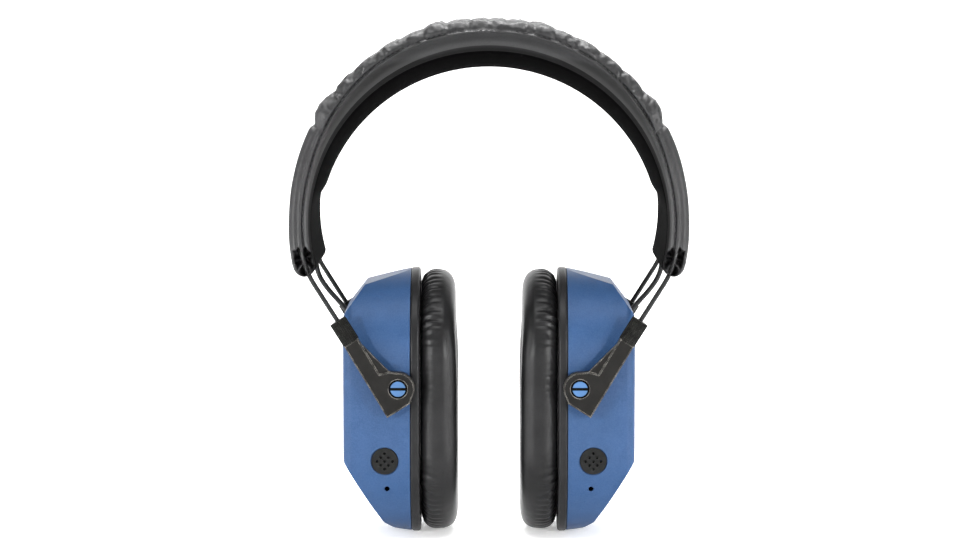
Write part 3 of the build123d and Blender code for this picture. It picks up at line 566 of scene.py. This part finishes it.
def sleeve_relief(station, wander, fine, finer, slow):
    """How far each point of the sleeve moves along its normal: gathers, folds, seams and padding."""
    turn, thick, half, depth, y, _ = station
    along = min(abs(turn), 1.0)
    angle = turn * OUTER_SWEEP
    seam = seam_depth(along, thick)
    side_face = smooth(half - 2.5, half - 0.6, np.abs(y))
    above = smooth(seam + 0.1, seam - 0.9, depth)
    gathered = float(smooth(GATHERED_TO + 1.5, GATHERED_TO - 3.0, abs(angle)))
    body = float(smooth(1.25, 0.98, abs(turn)))

    pillows = gather_profile(angle + 2.0 * wander) - 0.35
    pleats = 0.75 * fine + 0.55 * finer
    near_seam = 0.3 + 0.7 * smooth(half - 9.0, half, np.abs(y))
    move = above * gathered * (1.6 * pillows - 0.7 + pleats * near_seam)
    notch = hump(abs(angle), GATHERED_TO, 1.1)
    move -= above * notch * (1.1 + 0.3 * wander)
    move += above * 0.9 * hump(abs(angle), GATHERED_TO - 5.0, 3.2)
    move += above * 0.18 * slow

    folds = float(smooth(0.45, 0.72, along)) * body
    vary = 1.0 + 0.5 * slow
    move += folds * side_face * vary * (0.45 * hump(depth, 2.5, 0.8) - 0.35 * hump(depth, 3.8, 0.6))
    ridge = 0.42 * hump(depth, seam - 1.75, 0.75)
    move += (0.55 + 0.45 * folds) * side_face * body * vary * ridge
    move -= 1.05 * side_face * body * hump(depth, seam, 0.36)
    move += 0.30 * side_face * body * hump(depth, seam + 0.85, 0.34)
    bulge = np.clip((depth - seam - 1.0) / max(thick - seam - 2.0, 1.0), 0, 1)
    move += 0.75 * side_face * body * np.sin(math.pi * bulge)
    return move


def pad_bulge(station):
    """How far the padding under the crown pushes the sleeve's underside down."""
    crown = pad_crown(station.turn) if abs(station.turn) < 1 else 0.0
    under = np.maximum(station.normals @ station.inward, 0.0)
    share = np.clip(1 - (np.abs(station.y) / station.half) ** 2, 0, 1)
    return crown * share * under


def end_opening(station, points, fine):
    """How deep each point sinks into the band's open end, between the pleats and past the wires."""
    _, thick, half, depth, y, _ = station
    lip = 1.1 + 0.25 * fine
    hollow = smooth(lip, lip + 0.6, depth) * smooth(thick - lip + 0.2, thick - lip - 0.4, depth)
    edge = OPENING_Z + 0.9 * np.sin(depth * 2.1) * smooth(0.4, 2.0, depth) + 0.5 * fine
    height = points[:, 2]
    past = smooth(edge + 0.35, edge - 0.35, height)
    wire_x = np.interp(height, (WIRE_BEND[1], WIRE_TOP[1]), (WIRE_BEND[0], WIRE_TOP[0]))
    from_wire = np.abs(points[:, 0]) - wire_x + 0.4
    spread = 2.4 * smooth(-79.0, -82.0, height)
    fold = hump(np.abs(from_wire) - spread, 0.0, 1.0)
    pleat = 0.45 * hump(height + 0.3 * from_wire, -77.6, 0.7)
    deep = 7.0 * hollow * past * (1 - 0.86 * np.maximum(fold, pleat))
    return np.sign(y) * np.minimum(deep, np.abs(y)) * (np.abs(y) > half - 6.0)


def underside_painted_shade_share(station):
    """Painted shade: 1 on the band's underside and the inner part of its faces, which turn away from the
    light, and 0 on the outer leather.
    """
    turn, thick, half, depth, y, normals = station
    along = min(abs(turn), 1.0)
    seam = seam_depth(along, thick)
    side_face = smooth(half - 2.5, half - 0.6, np.abs(y))
    start = seam + 0.5 + (thick - seam - 1.5) * float(smooth(0.38, 0.12, along))
    underside_painted_shade = smooth(start, start + 2.2, depth) * (1 - 0.6 * side_face * float(smooth(0.5, 0.85, along)))
    return np.maximum(underside_painted_shade, smooth(0.25, 0.85, normals @ station.inward))


def build_band(finishes):
    """Gathered sleeve, seams, crowned pad and open ends in one surface."""
    points, stations = band_surface()
    wander = noise_at(points, 0.09, 3.0)
    fine = noise_at(points * np.array((1.0, 0.35, 1.0)), 0.42, 7.0)
    finer = noise_at(points * np.array((1.0, 0.5, 1.0)), 0.8, 11.0)
    slow = noise_at(points * np.array((0.6, 0.6, 0.6)), 0.12, 19.0)
    for i, station in enumerate(stations):
        move = sleeve_relief(station, wander[i], fine[i], finer[i], slow[i])
        points[i] += station.normals * move[:, None]
        points[i] += np.outer(pad_bulge(station), station.inward)
        if abs(station.turn) > 0.9:
            points[i][:, 1] -= end_opening(station, points[i], fine[i])
    faces = grid_faces(*points.shape[:2])
    piece = mesh_object("band_sleeve", points.reshape(-1, 3), faces)
    # Painted shade: this attribute darkens the band's underside and the inner part of its faces.
    shade = piece.data.attributes.new("painted_shade", "FLOAT", "POINT")
    shade.data.foreach_set("value", np.concatenate([underside_painted_shade_share(station) for station in stations]))

    # Painted shade: faces turned toward the underside get darker, less glossy copies of the leather, half
    # shade on the rounded inner corners and full shade underneath.
    facing = np.concatenate([station.normals @ station.inward for station in stations])
    slots = np.digitize(facing[np.array(faces)].mean(axis=1), (0.45, 0.85))
    for material in ("leatherette", "half_painted_shade", "underside_painted_shade"):
        piece.data.materials.append(finishes[material])
    piece.data.polygons.foreach_set("material_index", slots.astype(np.int32))
    return piece, points, stations


def seam_line(points, stations, columns):
    """Points along one seam, picked from the given columns of the sleeve's grid."""
    line = []
    for row, station in zip(points, stations):
        if abs(station.turn) > 0.955:
            continue
        seam = seam_depth(abs(station.turn), station.thick)
        off_face = np.abs(np.abs(station.y) - station.half) >= 0.3
        miss = np.abs(station.depth - seam - 0.1) + np.where(off_face, 9, 0)
        line.append(row[min(columns, key=lambda k: miss[k])])
    return np.array(line)


def stitch_ring(centre, size, across):
    """Ring of points round a stitch's thread."""
    front = np.array((0, 1.0, 0))
    turns = [math.tau * a / STITCH_SIDES for a in range(STITCH_SIDES)]
    return [centre + size * (math.cos(turn) * across + math.sin(turn) * front) for turn in turns]


def build_stitches(points, stations):
    """Thread stitches along the front and rear seams."""
    count = points.shape[1]
    verts, faces = [], []
    for outward, columns in ((-1.0, range(count // 2)), (1.0, range(count // 2, count))):
        line = seam_line(points, stations, columns)
        steps = np.linalg.norm(np.diff(line, axis=0), axis=1)
        travel = np.concatenate([[0], np.cumsum(steps)])
        for start in np.arange(1.0, travel[-1] - 2.0, STITCH_PITCH):
            spots = np.linspace(start, start + STITCH_LENGTH, STITCH_RINGS)
            ring_at = [np.array([np.interp(s, travel, line[:, k]) for k in range(3)]) for s in spots]
            base = len(verts)
            direction = ring_at[-1] - ring_at[0]
            direction /= np.linalg.norm(direction)
            across = np.cross(direction, (0, 1.0, 0))
            across /= np.linalg.norm(across)
            last = STITCH_RINGS - 1
            for k, centre in enumerate(ring_at):
                lift = 0.34 * math.sin(math.pi * k / last) - 0.04
                size = STITCH_R * (0.55 if k in (0, last) else 1.0)
                verts += stitch_ring(centre + np.array((0, outward * lift, 0)), size, across)
            faces += grid_faces(STITCH_RINGS, STITCH_SIDES, start=base)
            faces.append(tuple(base + a for a in range(STITCH_SIDES)))
            end = base + last * STITCH_SIDES
            faces.append(tuple(end + a for a in range(STITCH_SIDES - 1, -1, -1)))
    return mesh_object("band_stitches", verts, faces)


# ---- Ear cushions ----
def oval_point(height, width, share):
    """Point (y, h) of an oval at a share of the way round, starting at the front's middle going up."""
    straight = (height - width) / 2
    along = share % 0.5 * 2
    angle = np.interp(along, (0.0, 0.16, 0.84, 1.0), (180.0, 180.0, 0.0, 0.0))
    slide = np.interp(along, (0.0, 0.16, 0.84, 1.0), (0.0, 1.0, 1.0, 0.0))
    y = width / 2 * math.cos(math.radians(angle))
    h = straight * slide + width / 2 * math.sin(math.radians(angle))
    return (y, h) if share % 1.0 < 0.5 else (-y, -h)


def cushion_points(stations, steps):
    """Ear cushion as a grid of points about the cup's centre, with outward normals."""
    middle, half = (CUSHION_X0 + CUSHION_X1) / 2, (CUSHION_X1 - CUSHION_X0) / 2
    rows, outs = [], []
    for i in range(stations):
        outer = np.array(oval_point(CUSHION_H, CUSHION_W, i / stations))
        inner = np.array(oval_point(EAR_H, EAR_W, i / stations))
        across = outer - inner
        width = np.linalg.norm(across)
        row, out = [], []
        for k in range(steps):
            t = math.tau * k / steps
            c, d = math.cos(t), math.sin(t)
            power = SEAM_POWER if c > 0 and d < 0 else CUSHION_POWER
            r = (abs(c) ** power + abs(d) ** power) ** (-1 / power)
            y, h = inner + across * (0.5 + 0.5 * r * c)
            row.append((middle + half * r * d, y, h))
            facing_x = width / 2 * math.copysign(abs(d) ** 1.6, d)
            facing_out = half * math.copysign(abs(c) ** 1.6, c)
            length = math.hypot(facing_x, facing_out)
            out.append((facing_x / length, *(across / width * (facing_out / length))))
        rows.append(row)
        outs.append(out)
    return np.array(rows), np.array(outs)


def build_cushion():
    """Left cushion: a puffed ring, gathered into its seam at the base plate."""
    stations, steps = 560, 60
    points, normals = cushion_points(stations, steps)
    share = np.arange(stations) / stations
    turn = np.arange(steps) / steps * math.tau
    gathered = 0.14 + 0.86 * smooth(0.33, 0.55, 1 - np.abs(1 - 2 * (share * 2 % 1.0)))
    outer_side = smooth(-0.2, 0.35, np.cos(turn))
    near_seam = smooth(0.3, -0.35, np.sin(turn))
    wander = noise_at(points, 0.07, 5.0)
    fine = noise_at(points * np.array((0.25, 1, 1)), 0.28, 8.0)
    finer = noise_at(points * np.array((0.3, 1, 1)), 0.55, 13.0)
    slow = noise_at(points, 0.045, 21.0)
    phase = share[:, None] * math.tau * 92 + 4.5 * wander + 2.0 * fine
    pleat = 0.5 - np.abs(np.sin(phase / 2)) ** 0.7
    puckers = gathered[:, None] * (outer_side * near_seam)[None, :]
    uneven = 0.75 + 0.6 * noise_at(points * np.array((0.1, 1, 1)), 0.12, 31.0)
    move = -0.8 * puckers * uneven * (pleat + 0.5 * finer)
    move += 0.22 * slow
    crease = hump(turn, math.radians(28), 0.16)[None, :]
    move -= 0.14 * crease * (1 + 0.6 * fine)
    head_side = smooth(0.2, 0.8, np.sin(turn))[None, :]
    move -= (0.3 * hump(points[:, :, 2], 33.0, 10.0) + 0.8 * smooth(5.0, 52.0, points[:, :, 2])) * head_side
    inner_side = smooth(0.1, -0.6, np.cos(turn))[None, :]
    move -= 0.18 * inner_side * np.abs(finer)
    points = points + normals * move[:, :, None]
    points[:, :, 0] = np.clip(points[:, :, 0], CUSHION_X0 + 0.05, CUSHION_X1 + 0.3)
    points[:, :, 2] += CUP_Z
    faces = grid_faces(stations, steps, wrap_rows=True)
    return mesh_object("left_cushion", points.reshape(-1, 3), faces)


# ---- Cable leads ----
def tube(name, line, radius, sides=20):
    """Round tube along points, with closed ends."""
    line = np.asarray(line, float)
    tangents = np.gradient(line, axis=0)
    tangents /= np.linalg.norm(tangents, axis=1)[:, None]
    verts = []
    across = (1.0, 0, 0) if abs(tangents[0][1]) > 0.9 else (0, 1.0, 0)
    side = np.cross(tangents[0], across)
    for centre, tangent in zip(line, tangents):
        side = side - tangent * (side @ tangent)
        side /= np.linalg.norm(side)
        up = np.cross(tangent, side)
        for k in range(sides):
            a = math.tau * k / sides
            verts.append(centre + radius * (math.cos(a) * side + math.sin(a) * up))
    faces = grid_faces(len(line), sides)
    faces.append(tuple(range(sides)))
    faces.append(tuple((len(line) - 1) * sides + k for k in range(sides - 1, -1, -1)))
    return mesh_object(name, verts, faces)


def lead_line():
    """Points along the left cable lead, read from its NURBS route."""
    turn, lean = math.radians(ARCH_END), math.atan(WIDTH_LEAN)
    route = []
    for beyond in (CABLE_OUT, CABLE_OUT + LEAD_STRAIGHT):
        along = -CABLE_ARCH_R * math.cos(turn) + beyond * math.sin(turn)
        down = -CABLE_ARCH_R * math.sin(turn) - beyond * math.cos(turn)
        y = WIRE_Y_MID - down * math.sin(lean) - CABLE_INBOARD
        route.append((along, y, BAND_Z + down * math.cos(lean)))
    route += LEAD_ROUTE
    curve = bpy.data.curves.new("lead_route", "CURVE")
    curve.dimensions = "3D"
    spline = curve.splines.new("NURBS")
    spline.points.add(len(route) - 1)
    for spot, point in zip(spline.points, route):
        spot.co = (*(c * MM for c in point), 1.0)
    spline.order_u = 3
    spline.use_endpoint_u = True
    spline.resolution_u = 24
    holder = bpy.data.objects.new("lead_route", curve)
    bpy.context.scene.collection.objects.link(holder)
    mesh = bpy.data.meshes.new_from_object(holder)
    line = np.array([v.co[:] for v in mesh.vertices]) / MM
    bpy.data.objects.remove(holder)
    bpy.data.curves.remove(curve)
    bpy.data.meshes.remove(mesh)
    return line


def build_leads(material):
    """Both cable leads, each in two pieces split part way along the lead."""
    line = lead_line()
    travel = np.concatenate([[0], np.cumsum(np.linalg.norm(np.diff(line, axis=0), axis=1))])
    cut = int(np.searchsorted(travel, 0.55 * travel[-1]))
    print("lead length", round(travel[-1], 1))
    for side, sign in (("left", 1), ("right", -1)):
        path = line * np.array((sign, 1, 1))
        upper = tube(f"{side}_cable_upper", path[:cut + 1], CABLE_R)
        lower = tube(f"{side}_cable_lower", path[cut:], CABLE_R)
        if sign < 0:
            upper.data.flip_normals()
            lower.data.flip_normals()
        for piece, bodies, ends in (
            (upper, ("headband", f"{side}_yoke"), (path[0], path[cut])),
            (lower, (f"{side}_yoke", f"{side}_cup"), (path[cut], path[-1])),
        ):
            paint(piece, material)
            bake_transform(piece)
            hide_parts(f"{side}_cable_lead")


# ---- Painted shade in the stud slots and rings ----
def build_stud_painted_shade(material):
    """Black bar filling each stud's slot and black ring round its head, inside the arm's recess: painted
    shade for the slot's depth and the gap round the head.
    """
    box = ((0, 1, 2, 3), (4, 5, 6, 7), (0, 1, 5, 4), (1, 2, 6, 5), (2, 3, 7, 6), (3, 0, 4, 7))
    corners = ((-1, -1), (1, -1), (1, 1), (-1, 1))
    for side, sign in (("left", 1), ("right", -1)):
        x = sign * STUD_X
        verts, faces = [], []
        for front in (-1, 1):
            base = len(verts)
            for y in (YOKE_FACE - SLOT_DEPTH, YOKE_FACE + 0.02):
                for dx, dz in corners:
                    verts.append((x + dx * SLOT_HALF_LENGTH, front * y, STUD_Z + dz * SLOT_HALF_WIDTH))
            faces += [tuple(base + k for k in face) for face in box]
            base = len(verts)
            for radius, rise in PAINTED_SHADE_RING:
                for k in range(RING_STEPS):
                    a = math.tau * k / RING_STEPS
                    y = front * (YOKE_FACE + rise)
                    verts.append((x + radius * math.cos(a), y, STUD_Z + radius * math.sin(a)))
            faces += grid_faces(len(PAINTED_SHADE_RING), RING_STEPS, start=base)
        piece = mesh_object(f"{side}_stud_painted_shade", verts, faces, False)
        paint(piece, material)
        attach(piece, f"{side}_cup")


# ---- Camera, light and floor ----
def make_camera():
    """Camera in front of the object and slightly above it."""
    elevation = math.radians(CAMERA_ELEVATION)
    back = Vector((0, -math.cos(elevation), math.sin(elevation)))
    camera = bpy.data.objects.new("camera", bpy.data.cameras.new("camera"))
    bpy.context.scene.collection.objects.link(camera)
    camera.data.lens = CAMERA_LENS
    camera.data.clip_end = 20.0
    camera.location = (CAMERA_AIM + back * CAMERA_DISTANCE) * MM
    camera.rotation_euler = (-back).to_track_quat("-Z", "Y").to_euler()
    bpy.context.scene.camera = camera


def make_world():
    """White world that shows at full strength and lights the object weakly."""
    world = bpy.data.worlds.new("studio")
    world.use_nodes = True
    nodes, links = world.node_tree.nodes, world.node_tree.links
    nodes["Background"].inputs["Color"].default_value = (1.0, 1.0, 1.0, 1.0)
    path = nodes.new("ShaderNodeLightPath")
    strength = nodes.new("ShaderNodeMapRange")
    strength.inputs["To Min"].default_value = WORLD_LIGHT
    links.new(path.outputs["Is Camera Ray"], strength.inputs["Value"])
    links.new(strength.outputs["Result"], nodes["Background"].inputs["Strength"])
    bpy.context.scene.world = world


def make_floor(floor_z):
    """Pale floor that curves up into a wall behind the object."""
    line = [(FLOOR_FRONT, floor_z)]
    for k in range(CURVE_STEPS + 1):
        a = math.radians(90 * k / CURVE_STEPS)
        line.append((CURVE_START + CURVE_R * math.sin(a), floor_z + CURVE_R * (1 - math.cos(a))))
    line.append((CURVE_START + CURVE_R, WALL_TOP))
    verts = [(x, y, z) for x in (-FLOOR_HALF, FLOOR_HALF) for y, z in line]
    count = len(line)
    floor = mesh_object("floor", verts, [(k, k + 1, count + k + 1, count + k) for k in range(count - 1)])
    n = Nodes("floor_white", Specular_IOR_Level=0.2, Roughness=0.7)
    n.set(n.shader, Emission_Color=(1.0, 1.0, 1.0, 1.0), Emission_Strength=0.3)
    color = n.mix(n.noise(120.0, 2.0), (0.95, 0.95, 0.95), (0.97, 0.97, 0.97))
    n.tree.links.new(color, n.shader.inputs["Base Color"])
    paint(floor, n.material)


def area_light(name, size, power):
    """Rectangular softbox of a size in millimetres."""
    data = bpy.data.lights.new(name, "AREA")
    data.shape = "RECTANGLE"
    data.size, data.size_y = (s * MM for s in size)
    data.energy = power
    return data


def hang_lamp(data, place, direction):
    """Put a light at a place in millimetres, shining in a direction."""
    lamp = bpy.data.objects.new(data.name, data)
    bpy.context.scene.collection.objects.link(lamp)
    lamp.location = Vector(place) * MM
    lamp.rotation_euler = direction.to_track_quat("-Z", "Y").to_euler()


def on_side(point, side):
    """A right-hand point, or its mirror image where side is -1."""
    return Vector((side * point[0], *point[1:]))


def make_lights(middle):
    """Softboxes round the object, a light for the backdrop, and a strip and a spot for each cup."""
    for name, place, size, power in SOFTBOXES:
        hang_lamp(area_light(name, size, power), place, middle - Vector(place))
    hang_lamp(area_light("backdrop", BACKDROP_SIZE, BACKDROP_POWER), BACKDROP_PLACE, Vector((0, 0.9, -1.0)))
    for name, side in (("left_strip", -1), ("right_strip", 1)):
        data = area_light(name, STRIP_SIZE, STRIP_POWER)
        data.spread = math.radians(STRIP_SPREAD)
        place = on_side(STRIP_PLACE, side)
        hang_lamp(data, place, on_side(STRIP_AIM, side) - place)
    for name, side in (("left_spot", -1), ("right_spot", 1)):
        data = bpy.data.lights.new(name, "SPOT")
        data.energy = SPOT_POWER
        data.shadow_soft_size = SPOT_RADIUS * MM
        data.spot_size, data.spot_blend = math.radians(SPOT_CONE), SPOT_BLEND
        place = on_side(SPOT_PLACE, side)
        hang_lamp(data, place, on_side(SPOT_AIM, side) - place)


def make_stage():
    """Camera, world, floor and lights."""
    bpy.context.scene.view_settings.view_transform = "Standard"
    low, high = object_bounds()
    make_camera()
    make_world()
    make_floor(low.z / MM)
    make_lights((low + high) / 2 / MM)


def paint_frame(nodes, record, finishes):
    """Give each node of the frame the finish of its material slot."""
    slots = {part["node"]: part["material_slot"] for part in record["subparts"]}
    for name, node in nodes.items():
        finish = slots[name]
        if name.endswith("collar"):
            finish = "collar"
        paint(node, finishes[finish])


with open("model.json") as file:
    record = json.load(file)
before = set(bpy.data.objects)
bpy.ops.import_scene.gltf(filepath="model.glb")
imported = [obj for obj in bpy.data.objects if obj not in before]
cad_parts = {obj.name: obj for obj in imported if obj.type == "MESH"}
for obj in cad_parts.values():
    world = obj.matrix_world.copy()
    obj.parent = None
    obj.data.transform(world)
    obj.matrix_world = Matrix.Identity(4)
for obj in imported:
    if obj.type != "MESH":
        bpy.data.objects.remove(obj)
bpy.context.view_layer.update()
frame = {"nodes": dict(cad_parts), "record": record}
finishes = make_materials()
paint_frame(frame["nodes"], frame["record"], finishes)

band, band_points, band_facts = build_band(finishes)
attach(band, "headband")
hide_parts("headband_cover", "headband_pad", "headband_foam")

stitches = build_stitches(band_points, band_facts)
paint(stitches, finishes["thread"])
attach(stitches, "headband")

left_cushion = build_cushion()
paint(left_cushion, finishes["cushion_leatherette"])
right_cushion = mirror_piece(left_cushion, "right_cushion")
for side, cushion in (("left", left_cushion), ("right", right_cushion)):
    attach(cushion, f"{side}_cup")
    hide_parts(f"{side}_cushion_cover", f"{side}_cushion_foam")

keeper_ys = (-KEEPER_HALF, 0.3 - KEEPER_HALF, KEEPER_HALF - 0.3, KEEPER_HALF)
for side, sign in (("left", -1), ("right", 1)):
    line = [(sign * KEEPER_X, y, KEEPER_Z) for y in keeper_ys]
    keeper = tube(f"{side}_keeper_bar", line, KEEPER_R, 28)
    paint(keeper, finishes["black_plastic"])
    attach(keeper, "headband")
    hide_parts(f"{side}_wire_keeper")

build_leads(finishes["cable_rubber"])
# Painted shade: black bars in the stud slots and black rings round the stud heads.
build_stud_painted_shade(finishes["painted_shade_black"])
make_stage()
